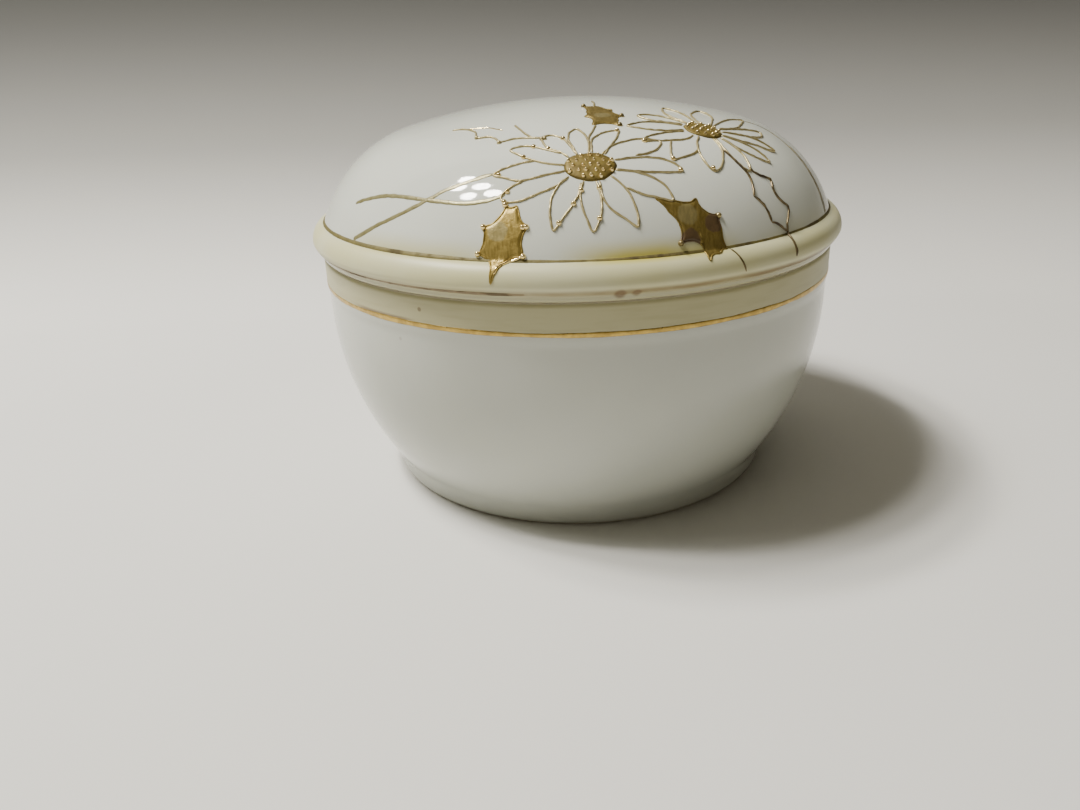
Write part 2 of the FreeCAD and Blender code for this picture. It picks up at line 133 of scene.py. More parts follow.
class Paint:
    """A node material with short calls for its nodes; textures are placed in millimetres."""

    def __init__(self, name):
        self.material = bpy.data.materials.new(name)
        self.material.use_nodes = True
        self.tree = self.material.node_tree
        self.shader = self.tree.nodes["Principled BSDF"]
        coordinates = self.tree.nodes.new("ShaderNodeTexCoord")
        to_mm = self.tree.nodes.new("ShaderNodeVectorMath")
        to_mm.operation = "SCALE"
        to_mm.inputs["Scale"].default_value = 1 / MM
        self.tree.links.new(coordinates.outputs["Object"], to_mm.inputs[0])
        self.place = to_mm.outputs[0]
        split = self.tree.nodes.new("ShaderNodeSeparateXYZ")
        self.tree.links.new(self.place, split.inputs[0])
        self.x, self.y, self.z = split.outputs

    def feed(self, socket, value):
        """Set a socket, or link another socket to it."""
        if isinstance(value, bpy.types.NodeSocket):
            self.tree.links.new(value, socket)
        else:
            socket.default_value = value

    def combine(self, kind, first, second=0.0):
        """One Math node."""
        node = self.tree.nodes.new("ShaderNodeMath")
        node.operation = kind
        self.feed(node.inputs[0], first)
        self.feed(node.inputs[1], second)
        return node.outputs[0]

    def times(self, *factors):
        """The product of several values."""
        result = factors[0]
        for factor in factors[1:]:
            result = self.combine("MULTIPLY", result, factor)
        return result

    def noise(self, per_mm, detail=2.0, roughness=0.5, stretch=None):
        """Noise from 0 to 1 with so many cells to a millimetre."""
        node = self.tree.nodes.new("ShaderNodeTexNoise")
        place = self.place
        if stretch:
            mapping = self.tree.nodes.new("ShaderNodeMapping")
            mapping.inputs["Scale"].default_value = stretch
            self.feed(mapping.inputs["Vector"], place)
            place = mapping.outputs[0]
        self.feed(node.inputs["Vector"], place)
        node.inputs["Scale"].default_value = per_mm
        node.inputs["Detail"].default_value = detail
        node.inputs["Roughness"].default_value = roughness
        return node.outputs[0]

    def rise(self, value, low, high):
        """0 below low and 1 above high, smooth between; low above high turns it round."""
        node = self.tree.nodes.new("ShaderNodeMapRange")
        node.interpolation_type = "SMOOTHSTEP"
        falling = low > high
        ends = (high, low, 1.0, 0.0) if falling else (low, high, 0.0, 1.0)
        for socket, end in zip(list(node.inputs)[1:5], ends):
            socket.default_value = end
        self.feed(node.inputs[0], value)
        return node.outputs[0]

    def between(self, value, low, high, soft):
        """1 between low and high, with soft edges."""
        lower = self.rise(value, low - soft, low + soft)
        upper = self.rise(value, high + soft, high - soft)
        return self.times(lower, upper)

    def spot(self, centre, reach, soft=0.5):
        """1 near a point in millimetres, fading to 0 at reach."""
        node = self.tree.nodes.new("ShaderNodeVectorMath")
        node.operation = "DISTANCE"
        self.feed(node.inputs[0], self.place)
        node.inputs[1].default_value = centre
        return self.rise(node.outputs["Value"], reach, reach * soft)

    def radius(self):
        """Distance from the box's axis, in millimetres."""
        squares = self.combine("ADD", self.times(self.x, self.x), self.times(self.y, self.y))
        return self.combine("SQRT", squares)

    def wavering_height(self):
        """Height in millimetres, a little uneven, for the edges of hand-painted bands."""
        wobble = self.times(self.combine("SUBTRACT", self.noise(0.12), 0.5), 0.5)
        return self.combine("ADD", self.z, wobble)

    def specks(self, per_mm, size, share):
        """1 on a few round specks: size in mm, share of cells that hold one."""
        node = self.tree.nodes.new("ShaderNodeTexVoronoi")
        self.feed(node.inputs["Vector"], self.place)
        node.inputs["Scale"].default_value = per_mm
        split = self.tree.nodes.new("ShaderNodeSeparateColor")
        self.feed(split.inputs[0], node.outputs["Color"])
        dot = self.rise(node.outputs["Distance"], size * per_mm, size * per_mm * 0.5)
        return self.times(dot, self.combine("LESS_THAN", split.outputs[0], share))

    def mix(self, factor, first, second):
        """Mix two colours."""
        node = self.tree.nodes.new("ShaderNodeMix")
        node.data_type = "RGBA"
        self.feed(node.inputs[0], factor)
        for socket, value in ((node.inputs[6], first), (node.inputs[7], second)):
            self.feed(socket, value if isinstance(value, bpy.types.NodeSocket) else (*value, 1))
        return node.outputs[2]

    def grade(self, factor, low, high):
        """A value from low to high as the factor goes from 0 to 1."""
        node = self.tree.nodes.new("ShaderNodeMapRange")
        self.feed(node.inputs[0], factor)
        node.inputs[3].default_value = low
        node.inputs[4].default_value = high
        return node.outputs[0]

    def bump(self, *layers):
        """Bump from (height, distance in mm) layers."""
        normal = None
        for height, distance in layers:
            node = self.tree.nodes.new("ShaderNodeBump")
            self.feed(node.inputs["Height"], height)
            node.inputs["Distance"].default_value = distance * MM
            if normal:
                self.feed(node.inputs["Normal"], normal)
            normal = node.outputs[0]
        self.feed(self.shader.inputs["Normal"], normal)

    def set(self, **values):
        """Set the shader's own inputs by name, with _ for a space."""
        for name, value in values.items():
            socket = self.shader.inputs[name.replace("_", " ")]
            if socket.type == "RGBA" and isinstance(value, tuple):
                value = (*value, 1)
            self.feed(socket, value)


WHITE = (0.67, 0.69, 0.61)
WHITE_GREY = (0.62, 0.64, 0.565)
# The bowl's white is this much darker than the lid's: painted shade.
BOWL_WHITE_SHADE = 0.88
# Cream of the lid's lower lip, painted darker than the band's cream as shade along the seam.
LIP_CREAM_SHADED = (0.44, 0.42, 0.255)
LID_CREAM = (0.60, 0.575, 0.315)
LID_CREAM_PALE = (0.62, 0.605, 0.375)
# The bowl's cream ground, darker than the lid's cream: its own colour, partly painted shade under the lid.
BOWL_CREAM_SHADED = (0.50, 0.47, 0.26)
BOWL_CREAM_DEEP_SHADED = (0.45, 0.42, 0.22)
OLIVE = (0.52, 0.46, 0.11)
BISQUE = (0.74, 0.69, 0.58)
SPECK = (0.14, 0.075, 0.03)
DARK_BROWN = (0.22, 0.155, 0.07)
# Single flaws: (place in mm, reach, strength).
BOWL_FLAWS = [((-23.6, -36.7, 37.5), 0.42, 0.65), ((-27.0, -33.8, 32.4), 0.4, 0.25)]
LID_FLAWS = [((3.8, -44.0, EDGE_Z), 1.1, 0.75), ((6.0, -43.8, EDGE_Z), 0.85, 0.7)]


def glaze(paint, colour, satin, bare, flaws):
    """Clear glaze over a colour: satin over the ground colour, dull where the clay is bare."""
    specks = paint.times(paint.specks(0.11, 0.2, 0.08), 0.4)
    for place, reach, strength in flaws:
        specks = paint.combine("MAXIMUM", specks, paint.times(paint.spot(place, reach), strength))
    colour = paint.mix(specks, colour, SPECK)
    colour = paint.mix(bare, colour, BISQUE)
    gloss = paint.grade(paint.noise(0.25), 0.03, 0.07)
    dull = paint.grade(paint.noise(2.5), 0.55, 0.75)
    roughness = paint.combine("ADD", paint.times(dull, bare), gloss)
    roughness = paint.combine("ADD", roughness, paint.times(satin, 0.38))
    paint.set(Base_Color=colour, Roughness=roughness, IOR=1.52)
    paint.set(Subsurface_Weight=0.12, Subsurface_Radius=(1.0, 0.85, 0.65), Subsurface_Scale=1.2 * MM)
    waviness = paint.noise(0.06, 1.0)
    orange_peel = paint.noise(1.6, 1.0)
    grit = paint.times(paint.noise(6.0, 3.0), bare)
    paint.bump((waviness, 0.10), (orange_peel, 0.0015), (grit, 0.05))


def white_glaze(paint, shade_factor=1.0):
    """Two close whites that drift over the surface; the factor darkens both as painted shade."""
    pale, grey = (tuple(shade_factor * part for part in white) for white in (WHITE, WHITE_GREY))
    return paint.mix(paint.rise(paint.noise(0.035, 3.0), 0.35, 0.7), pale, grey)


def bowl_glaze():
    """White below and inside, cream from the gold line up to the rim; both are painted darker than the lid's
    as shade.
    """
    paint = Paint("bowl_glaze")
    outside = paint.rise(paint.radius(), 42.6, 42.9)
    band = paint.rise(paint.wavering_height(), BOWL_LINE_Z - 0.3, BOWL_LINE_Z + 0.3)
    band = paint.times(band, outside)
    streaks = paint.noise(0.5, 3.0, stretch=(0.25, 0.25, 2.2))
    cream = paint.mix(paint.rise(streaks, 0.4, 0.75), BOWL_CREAM_SHADED, BOWL_CREAM_DEEP_SHADED)
    # The bowl's whites take the darker factor: painted shade.
    colour = paint.mix(paint.times(band, 0.95), white_glaze(paint, BOWL_WHITE_SHADE), cream)
    # Browner just above the gold line, at the front left.
    over_line = paint.between(paint.z, BOWL_LINE_Z + 0.2, BOWL_LINE_Z + 0.75, 0.2)
    front_left_patch = paint.spot((-29.5, -31.5, BOWL_LINE_Z), 8.0, 0.5)
    colour = paint.mix(paint.times(over_line, front_left_patch, outside, 0.85), colour, DARK_BROWN)
    seat = paint.rise(paint.z, SEAT - 0.35, SEAT - 0.05)
    foot = paint.rise(paint.z, 0.5, 0.2)
    glaze(paint, colour, band, paint.combine("MAXIMUM", seat, foot), BOWL_FLAWS)
    return paint.material


def olive_tint(paint, height, outside):
    """How much olive has run above the lid's gold line: most at the front, some at the left."""
    run = paint.rise(height, dome_foot_z + 3.0, dome_foot_z - 0.1)
    front = paint.spot((9.0, -41.5, dome_foot_z), 15.0, 0.4)
    left = paint.spot((-24.0, -35.5, dome_foot_z), 17.0, 0.3)
    faint = paint.rise(paint.noise(0.07, 1.0), 0.45, 0.7)
    strength = paint.combine("ADD", paint.times(front, 0.85), paint.times(faint, 0.25))
    strength = paint.combine("MAXIMUM", strength, paint.times(left, 0.55))
    above_line = paint.rise(paint.z, dome_foot_z - 0.6, dome_foot_z)
    return paint.times(run, strength, above_line, outside)


def edge_stain(paint, height, outside):
    """How brown the worn lower edge of the lid's band is: patchy, and more to the right."""
    edge = paint.between(height, EDGE_Z - 0.25, EDGE_Z + 0.65, 0.35)
    patchy = paint.combine("ADD", paint.noise(0.12, 3.0), paint.times(paint.x, 0.006))
    strength = paint.grade(paint.rise(patchy, 0.2, 0.75), 0.45, 0.95)
    return paint.times(edge, outside, strength)


def lid_glaze():
    """White dome, cream band, and olive tint that has run a little above the gold line; the lower lip is a
    darker cream, painted shade along the seam.
    """
    paint = Paint("lid_glaze")
    outside = paint.rise(paint.radius(), 41.2, 41.5)
    height = paint.wavering_height()
    # Below the groove the lower lip takes the darker cream: painted shade along the seam.
    lip = paint.times(paint.rise(paint.z, SEAT + 1.3, SEAT + 0.9), outside)
    colour = paint.mix(lip, white_glaze(paint), LIP_CREAM_SHADED)
    band = paint.times(paint.between(height, SEAT + 0.9, dome_foot_z, 0.35), outside)
    cloud = paint.rise(paint.noise(0.09, 2.0), 0.35, 0.7)
    cream = paint.mix(cloud, LID_CREAM, LID_CREAM_PALE)
    colour = paint.mix(paint.times(band, 0.95), colour, cream)
    colour = paint.mix(olive_tint(paint, height, outside), colour, OLIVE)
    colour = paint.mix(edge_stain(paint, height, outside), colour, DARK_BROWN)
    under = paint.rise(paint.z, SEAT + 0.15, SEAT - 0.1)
    glaze(paint, colour, band, under, LID_FLAWS)
    return paint.material


def gilt(name, bright, deep, brown, wear, rough=(0.22, 0.42), metallic=0.9, grain=1.0):
    """Fired gold that is brighter and deeper in places, and rubbed to brown where it is worn."""
    paint = Paint(name)
    drift = paint.rise(paint.noise(0.9, 3.0), 0.3, 0.7)
    worn = paint.rise(paint.noise(0.22, 4.0, 0.6), 1 - wear, 1.12 - wear)
    colour = paint.mix(worn, paint.mix(drift, deep, bright), brown)
    roughness = paint.combine("ADD", paint.grade(paint.noise(1.7, 2.0), *rough), paint.times(worn, 0.2))
    paint.set(Base_Color=colour, Roughness=roughness, Metallic=paint.grade(worn, metallic, 0.35))
    paint.bump((paint.noise(2.2, 3.0), 0.05 * grain), (paint.noise(9.0, 2.0), 0.01 * grain))
    return paint.material


# ---------------------------------------------------------------- meshes

class Solid:
    """Points in millimetres and faces, gathered into one piece."""

    def __init__(self):
        self.points = []
        self.faces = []

    def add(self, points, faces):
        base = len(self.points)
        self.points += points
        self.faces += [tuple(base + corner for corner in face) for face in faces]

    def piece(self, name, body, slot, material, *replaced):
        """Turn the gathered faces into an object that rides on a body."""
        mesh = bpy.data.meshes.new(name)
        mesh.from_pydata([tuple(Vector(p) * MM) for p in self.points], [], self.faces)
        shaped = bmesh.new()
        shaped.from_mesh(mesh)
        bmesh.ops.recalc_face_normals(shaped, faces=shaped.faces)
        shaped.to_mesh(mesh)
        shaped.free()
        mesh.shade_smooth()
        mesh.materials.append(material)
        made = bpy.data.objects.new(name, mesh)
        bpy.context.scene.collection.objects.link(made)
        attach(made, body)
        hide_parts(*replaced)
        return made


def arc(start, end, radius, left, steps=14):
    """Points from start to end along an arc, without the first."""
    centre = arc_centre(start, end, radius, left)
    first = math.atan2(start[1] - centre[1], start[0] - centre[0])
    last = math.atan2(end[1] - centre[1], end[0] - centre[0])
    turn = (last - first + math.pi) % (2 * math.pi) - math.pi
    angles = [first + turn * step / steps for step in range(1, steps)]
    points = [(centre[0] + radius * math.cos(a), centre[1] + radius * math.sin(a)) for a in angles]
    return [*points, end]


def walk(points, reach):
    """The point at a distance along a line of points, and the points past it."""
    for index in range(1, len(points)):
        step = math.dist(points[index - 1], points[index])
        if step >= reach:
            share = reach / step
            here = tuple(a + (b - a) * share for a, b in zip(points[index - 1], points[index]))
            return here, points[index:]
        reach -= step
    return points[-1], []


def rounded(outline, corners):
    """Round corners of an outline: (corner, distance from it at which the rounding starts)."""
    for corner, reach in corners:
        index = outline.index(corner)
        before, head = walk(outline[index::-1], reach)
        after, tail = walk(outline[index:], reach)
        bend = []
        for step in range(9):
            t = step / 8
            weights = ((1 - t) ** 2, 2 * t * (1 - t), t ** 2)
            trio = zip(before, corner, after)
            bend.append(tuple(sum(w * v for w, v in zip(weights, values)) for values in trio))
        outline = head[::-1] + bend + tail
    return outline


def turned(outline, segments=320):
    """A solid turned about the axis from an outline that starts and ends on it."""
    solid = Solid()
    rings = outline[1:-1]
    points = [(0, 0, outline[0][1]), (0, 0, outline[-1][1])]
    for radius, height in rings:
        for segment in range(segments):
            angle = 2 * math.pi * segment / segments
            points.append((radius * math.cos(angle), radius * math.sin(angle), height))
    faces = []
    for ring in range(len(rings) - 1):
        for segment in range(segments):
            here = 2 + ring * segments
            step = (segment + 1) % segments
            faces.append((here + segment, here + step, here + segments + step, here + segments + segment))
    last = 2 + (len(rings) - 1) * segments
    for segment in range(segments):
        step = (segment + 1) % segments
        faces.append((0, 2 + step, 2 + segment))
        faces.append((1, last + segment, last + step))
    solid.add(points, faces)
    return solid


def smooth_path(controls, closed=False):
    """Points on a smooth curve through given points, about STEP apart."""
    count = len(controls)
    path = []
    spans = count if closed else count - 1
    for span in range(spans):
        if closed:
            four = [controls[(span + shift) % count] for shift in (-1, 0, 1, 2)]
        else:
            four = [controls[min(max(span + shift, 0), count - 1)] for shift in (-1, 0, 1, 2)]
        a, b, c, d = (Vector(point) for point in four)
        steps = max(2, round((c - b).length / STEP))
        for index in range(steps):
            t = index / steps
            point = 2 * b + (c - a) * t + (2 * a - 5 * b + 4 * c - d) * t ** 2
            point += (3 * b - 3 * c + d - a) * t ** 3
            path.append(tuple(point / 2))
    if not closed:
        path.append(tuple(controls[-1]))
    return path


ROUND = [(math.cos(k * math.pi / 5), math.sin(k * math.pi / 5)) for k in range(10)]


def ribbon(solid, places, widths, heights, closed=False):
    """A raised line over (point, normal) places, half round above the surface and a little below."""
    count = len(places)
    points = []
    for index, (point, normal) in enumerate(places):
        after = places[(index + 1) % count if closed else min(index + 1, count - 1)][0]
        before = places[index - 1 if closed else max(index - 1, 0)][0]
        across = (after - before).normalized().cross(normal)
        for x, y in ROUND:
            rise = y * heights[index] if y > 0 else y * 0.1
            points.append(point + across * x * widths[index] / 2 + normal * rise)
    faces = []
    sides = len(ROUND)
    for index in range(count if closed else count - 1):
        here, there = index * sides, (index + 1) % count * sides
        for side in range(sides):
            step = (side + 1) % sides
            faces.append((here + side, here + step, there + step, there + side))
    if not closed:
        faces.append(tuple(range(sides)))
        faces.append(tuple((count - 1) * sides + side for side in range(sides)))
    solid.add(points, faces)


def uneven(point, per_mm, seed):
    """Signed noise of about -1 to 1 for hand-laid work."""
    return noise.noise(Vector(point) * per_mm + Vector((seed, seed * 1.7, seed * 2.3))) * 1.6


def stroke(solid, controls, width=STROKE, height=RAISED, seed=0, closed=False):
    """A hand-laid raised line through points of the unrolled lid, thinner at its two ends."""
    taper = 0.6
    path = smooth_path(controls, closed=closed)
    places, widths, heights = [], [], []
    for index, (u, v) in enumerate(path):
        shift = 0.05 * uneven((u, v, 0), 0.8, seed + 11)
        place = on_lid((u + shift, v - shift))
        ends = 1.0
        if not closed:
            to_end = min(index, len(path) - 1 - index) * STEP
            ends = min(1.0, 0.45 + 0.55 * to_end / taper)
        places.append(place)
        widths.append(width * ends * (1 + 0.16 * uneven((u, v, 0), 1.1, seed)))
        heights.append(height * ends * (1 + 0.28 * uneven((u, v, 0), 1.9, seed + 5)))
    ribbon(solid, places, widths, heights, closed)


def cap(solid, top, rings, closed=True):
    """A low cap: a top point, rings of points round it and, when closed, a face underneath."""
    sides = len(rings[0])
    faces = [(0, 1 + side, 1 + (side + 1) % sides) for side in range(sides)]
    for ring in range(len(rings) - 1):
        here = 1 + ring * sides
        for side in range(sides):
            step = (side + 1) % sides
            faces.append((here + side, here + sides + side, here + sides + step, here + step))
    if closed:
        faces.append(tuple(1 + (len(rings) - 1) * sides + side for side in range(sides)))
    solid.add([top, *(point for ring in rings for point in ring)], faces)


def bead(solid, point, radius, height):
    """A round drop of raised gilding on the unrolled lid."""
    count, sides, skirt = 5, 12, math.pi * 0.58
    centre, normal = on_lid(point)
    across = normal.cross(Vector((0.3, 1, 0.2))).normalized()
    along = normal.cross(across)
    rings = []
    for ring in range(1, count + 1):
        angle = ring / count * skirt
        middle = centre + normal * height * math.cos(angle)
        reach = radius * math.sin(angle)
        turns = [2 * math.pi * side / sides for side in range(sides)]
        rings.append([middle + (across * math.cos(t) + along * math.sin(t)) * reach for t in turns])
    cap(solid, centre + normal * height, rings)


# ---------------------------------------------------------------- porcelain

def make_bowl():
    """Foot ring, bellied wall and band, hollow inside."""
    recess, foot_in, foot_out = (31.0, 1.6), (31.6, 0.0), (34.4, 0.0)
    belly_start, belly_end = (34.4, 2.76), (43.4, 31.0)
    shoulder, band_foot, band_top = (43.4, 33.2), (BAND_TOP, 34.4), (BAND_TOP, SEAT)
    mouth_edge, inner_start, inner_end = (MOUTH, SEAT), (MOUTH, belly_end[1]), (32.55, 5.0)
    belly_arc, inner_arc = 48.8, 46.0
    outline = [(0.0, recess[1]), recess, foot_in, foot_out, belly_start]
    outline += arc(belly_start, belly_end, belly_arc, left=False, steps=40)
    outline += [shoulder, band_foot, band_top, mouth_edge, inner_start]
    outline += arc(inner_start, inner_end, inner_arc, left=True, steps=30)
    outline += [(0.0, inner_end[1])]
    corners = [
        (recess, 0.9), (foot_in, 0.7), (foot_out, 1.0), (belly_start, 1.4), (shoulder, 0.55),
        (band_foot, 0.55), (band_top, 0.9), (mouth_edge, 0.9), (inner_end, 5.0),
    ]
    solid = turned(rounded(outline, corners))
    return solid.piece("bowl_porcelain", "bowl", "porcelain", bowl_glaze(), "bowl")


def make_lid():
    """Low dome over a bulging band, with a seat and a locating flange underneath."""
    flange_in, flange_out, cavity_foot = 37.6, 39.9, 39.85
    seat_edge, lip, groove = (42.9, SEAT), (43.85, SEAT + 0.75), (43.9, SEAT + 0.92)
    bulge, dome_foot = (BULGE, BULGE_Z), (DOME_FOOT, dome_foot_z)
    crown_edge, crown = (CROWN_EDGE, crown_edge_z), (0.0, CROWN)
    inner_crown = (0.0, CROWN - WALL)
    inner_edge = (
        CROWN_EDGE - WALL * math.sin(crown_angle),
        crown_edge_z - WALL * math.cos(crown_angle),
    )
    inner_arc = SHOULDER_ARC - WALL
    inner_foot = (cavity_foot, shoulder_z + math.sqrt(inner_arc ** 2 - (cavity_foot - shoulder_r) ** 2))
    root, flange_top = (38.2, 40.6), (flange_in, 39.0)
    flange_foot_in, flange_foot_out = (flange_in, FLANGE_FOOT), (flange_out, FLANGE_FOOT)
    flange_root = (flange_out, SEAT)
    outline = [inner_crown]
    outline += arc(inner_crown, inner_edge, CROWN_ARC - WALL, left=True, steps=16)
    outline += arc(inner_edge, inner_foot, inner_arc, left=True, steps=20)
    outline += [root, flange_top, flange_foot_in, flange_foot_out, flange_root, seat_edge]
    outline += arc(seat_edge, lip, SEAT_ARC, left=False, steps=8)
    outline += [groove]
    outline += arc(groove, bulge, LIP_ARC, left=False, steps=8)
    outline += arc(bulge, dome_foot, BULGE_ARC, left=False, steps=18)
    outline += arc(dome_foot, crown_edge, SHOULDER_ARC, left=False, steps=44)
    outline += arc(crown_edge, crown, CROWN_ARC, left=False, steps=24)
    corners = [
        (inner_foot, 1.5), (root, 0.8), (flange_top, 0.6), (flange_foot_in, 0.8),
        (flange_foot_out, 0.8), (flange_root, 0.4), (dome_foot, 0.4),
    ]
    solid = turned(rounded(outline, corners))
    return solid.piece("lid_porcelain", "lid", "porcelain", lid_glaze(), "lid")


def hoop(radius, height, tilt, width, rise, seed, gaps=0.0, lift=0.0):
    """A gold line painted round the box by hand: its width and height wander.

    tilt is how far its surface faces up, and gaps how much of the line has worn away.
    """
    count, thinnest = 720, 0.12
    places, widths, heights = [], [], []
    for index in range(count):
        turn = 2 * math.pi * index / count
        out = Vector((math.cos(turn), math.sin(turn), 0))
        spot = out * radius
        normal = out * math.cos(tilt) + Vector((0, 0, math.sin(tilt)))
        wander = Vector((0, 0, height + 0.07 * uneven(spot, 0.05, seed)))
        places.append((spot + wander + normal * lift, normal))
        thin = 1 + 0.22 * uneven(spot, 0.12, seed + 3) + 0.08 * uneven(spot, 0.9, seed)
        thin *= 1 - gaps * max(0.0, min(1.0, 0.5 + 1.5 * uneven(spot, 0.07, seed + 9)))
        widths.append(width * max(thin, thinnest))
        heights.append(rise * max(thin, thinnest))
    solid = Solid()
    ribbon(solid, places, widths, heights, closed=True)
    return solid


def make_gold_lines():
    """The three lines painted round the box."""
    bright = gilt(
        "bright_gilt", (0.62, 0.43, 0.11), (0.42, 0.28, 0.07), (0.25, 0.16, 0.05), 0.36, metallic=0.75)
    worn = gilt(
        "worn_gilt", (0.17, 0.14, 0.04), (0.12, 0.10, 0.028), (0.09, 0.07, 0.025), 0.5, (0.5, 0.7), 0.2)
    edge = gilt(
        "edge_gilt", (0.26, 0.20, 0.11), (0.19, 0.14, 0.075), (0.13, 0.095, 0.05), 0.5, (0.4, 0.6), 0.25)
    bowl_line = hoop(BAND_TOP, BOWL_LINE_Z, 0.0, 0.68, 0.05, seed=1)
    bowl_line.piece("bowl_line_gilding", "bowl", "bright_gold", bright, "bowl_gold_line")
    crease, edge_radius, underside = math.radians(40), 44.28, math.radians(-45)
    lid_line = hoop(DOME_FOOT, dome_foot_z, crease, 0.72, 0.10, seed=2, lift=0.08)
    lid_line.piece("lid_line_gilding", "lid", "worn_gold", worn, "lid_gold_line")
    edge_line = hoop(edge_radius, EDGE_Z + 0.1, underside, 0.7, 0.05, seed=3, gaps=0.6)
    edge_line.piece("lid_edge_gilding", "lid", "worn_gold", edge, "lid_edge_line")


# ---------------------------------------------------------------- the painted spray

# Everything here is drawn on the unrolled lid, in millimetres from the crown, with +v to the back.
LARGE_EYE, LARGE_EYE_SIZE = (0.8, -35.2), (3.75, 2.95)
LARGE_PETALS = [
    [(-3.0, -37.4), (-4.5, -39.3), (-5.25, -41.5), (-5.35, -43.6), (-5.05, -44.8), (-4.2, -44.0),
     (-2.6, -42.2), (-1.3, -40.3), (-0.7, -38.2)],
    [(-0.3, -37.9), (-0.9, -39.8), (-0.8, -41.8), (-0.1, -43.9), (0.6, -45.4), (1.6, -43.8),
     (2.0, -41.5), (1.75, -39.4), (1.4, -38.0)],
    [(1.9, -38.0), (2.1, -40.2), (3.2, -42.2), (5.2, -43.5), (7.1, -44.5), (6.9, -42.3),
     (6.0, -39.9), (4.6, -38.1), (3.4, -37.0)],
    [(4.2, -36.0), (6.8, -36.1), (9.5, -36.9), (11.3, -38.1), (12.2, -40.0), (10.2, -40.0),
     (7.6, -39.7), (5.6, -38.9)],
    [(4.1, -34.1), (6.5, -33.4), (9.0, -33.0), (11.5, -33.1), (13.2, -33.9), (13.7, -34.7),
     (12.2, -35.3), (9.0, -35.9), (6.0, -36.0), (4.2, -35.8)],
    [(2.9, -32.8), (4.0, -30.7), (5.9, -29.4), (8.3, -28.3), (11.0, -28.6), (10.7, -30.3),
     (9.4, -31.8), (7.2, -32.8)],
    [(1.2, -32.3), (1.3, -29.4), (2.0, -27.7), (3.3, -26.2), (5.4, -25.3), (5.2, -27.3),
     (4.5, -29.4), (3.6, -31.3), (2.5, -32.8)],
    [(-0.9, -32.8), (-1.5, -30.3), (-1.9, -28.0), (-1.6, -25.9), (-0.6, -24.5), (0.4, -26.3),
     (0.85, -28.6), (0.85, -30.5), (0.7, -32.5)],
    [(-2.0, -33.4), (-3.2, -31.9), (-4.7, -30.8), (-5.4, -29.0), (-5.6, -27.0), (-4.0, -26.6),
     (-2.6, -28.0), (-1.8, -30.2), (-1.1, -32.4)],
    [(-2.4, -34.9), (-4.4, -34.4), (-6.4, -33.5), (-8.2, -32.1), (-10.1, -29.8), (-8.4, -29.2),
     (-6.7, -29.9), (-5.0, -31.0), (-3.2, -32.2)],
    [(-2.5, -35.9), (-5.8, -36.3), (-9.0, -36.6), (-11.2, -35.5), (-12.8, -34.4), (-11.5, -33.8),
     (-9.0, -33.3), (-6.6, -33.2)],
    [(-2.3, -37.0), (-4.0, -38.3), (-6.6, -39.2), (-9.2, -39.8), (-11.6, -39.4), (-11.9, -38.4),
     (-10.4, -37.3), (-8.6, -36.7)],
]
SMALL_EYE, SMALL_EYE_SIZE = (18.3, -22.0), (3.0, 3.1)
SMALL_PETALS = [
    [(17.2, -25.0), (16.6, -27.5), (16.7, -30.2), (17.6, -32.2), (18.6, -33.1), (19.5, -32.4),
     (20.1, -30.8), (20.4, -28.5), (20.0, -26.4), (19.4, -24.9)],
    [(12.8, -28.1), (12.45, -30.0), (12.5, -32.6), (14.2, -31.7), (15.6, -30.6), (16.5, -29.2)],
    [(15.2, -24.0), (12.6, -25.1), (10.8, -26.3), (9.2, -27.6), (8.7, -28.9), (10.4, -28.6),
     (13.0, -27.8), (14.9, -26.9), (16.4, -25.0)],
    [(15.3, -21.2), (12.6, -20.8), (10.0, -21.0), (8.2, -21.9), (7.0, -23.2), (8.2, -23.9),
     (10.4, -24.5), (13.0, -24.3), (15.3, -23.3)],
    [(15.6, -20.6), (13.0, -20.4), (11.0, -19.9), (9.7, -18.9), (9.1, -17.8), (10.4, -17.0),
     (12.6, -17.4), (14.6, -18.6), (16.2, -19.9)],
    [(16.4, -19.8), (14.6, -17.6), (13.6, -15.4), (13.5, -13.0), (13.9, -11.4), (15.6, -12.6),
     (16.8, -15.2), (17.4, -17.6), (17.6, -19.3)],
    [(18.4, -19.2), (17.9, -16.6), (17.8, -14.0), (18.6, -11.6), (19.9, -9.8), (21.0, -11.4),
     (21.2, -14.0), (20.6, -17.0), (19.9, -19.4)],
    [(20.2, -19.7), (21.6, -17.0), (23.2, -14.0), (25.0, -11.6), (26.9, -10.4), (26.2, -13.0),
     (25.2, -15.8), (23.9, -18.0), (21.0, -20.4)],
    [(20.9, -20.6), (24.0, -18.4), (26.4, -16.6), (28.6, -15.6), (28.6, -17.4), (27.0, -19.2),
     (24.4, -20.6), (21.2, -21.4)],
    [(21.2, -21.5), (24.4, -20.4), (27.6, -20.0), (30.2, -20.8), (28.8, -21.8), (26.2, -22.4),
     (23.8, -22.9), (21.2, -22.7)],
    [(21.0, -23.0), (24.2, -23.4), (26.6, -23.9), (28.6, -25.2), (27.4, -25.9), (25.2, -26.1),
     (22.9, -25.5), (20.7, -24.0)],
    [(19.8, -24.7), (20.9, -27.3), (22.3, -29.1), (24.0, -30.3), (24.8, -29.8), (24.4, -28.1),
     (23.3, -26.3), (20.7, -24.1)],
]
PETAL_BEADS = [
    (-4.2, -43.9), (-1.95, -41.4), (-0.75, -39.4), (1.6, -43.6), (1.75, -39.1), (8.8, -28.9),
    (12.55, -32.6), (18.5, -32.6), (-11.0, -37.9), (-11.6, -39.4), (-2.6, -28.0), (-4.8, -30.8),
    (-6.8, -29.8), (-8.3, -32.1), (-12.0, -34.7), (13.5, -34.6), (5.3, -25.4),
]
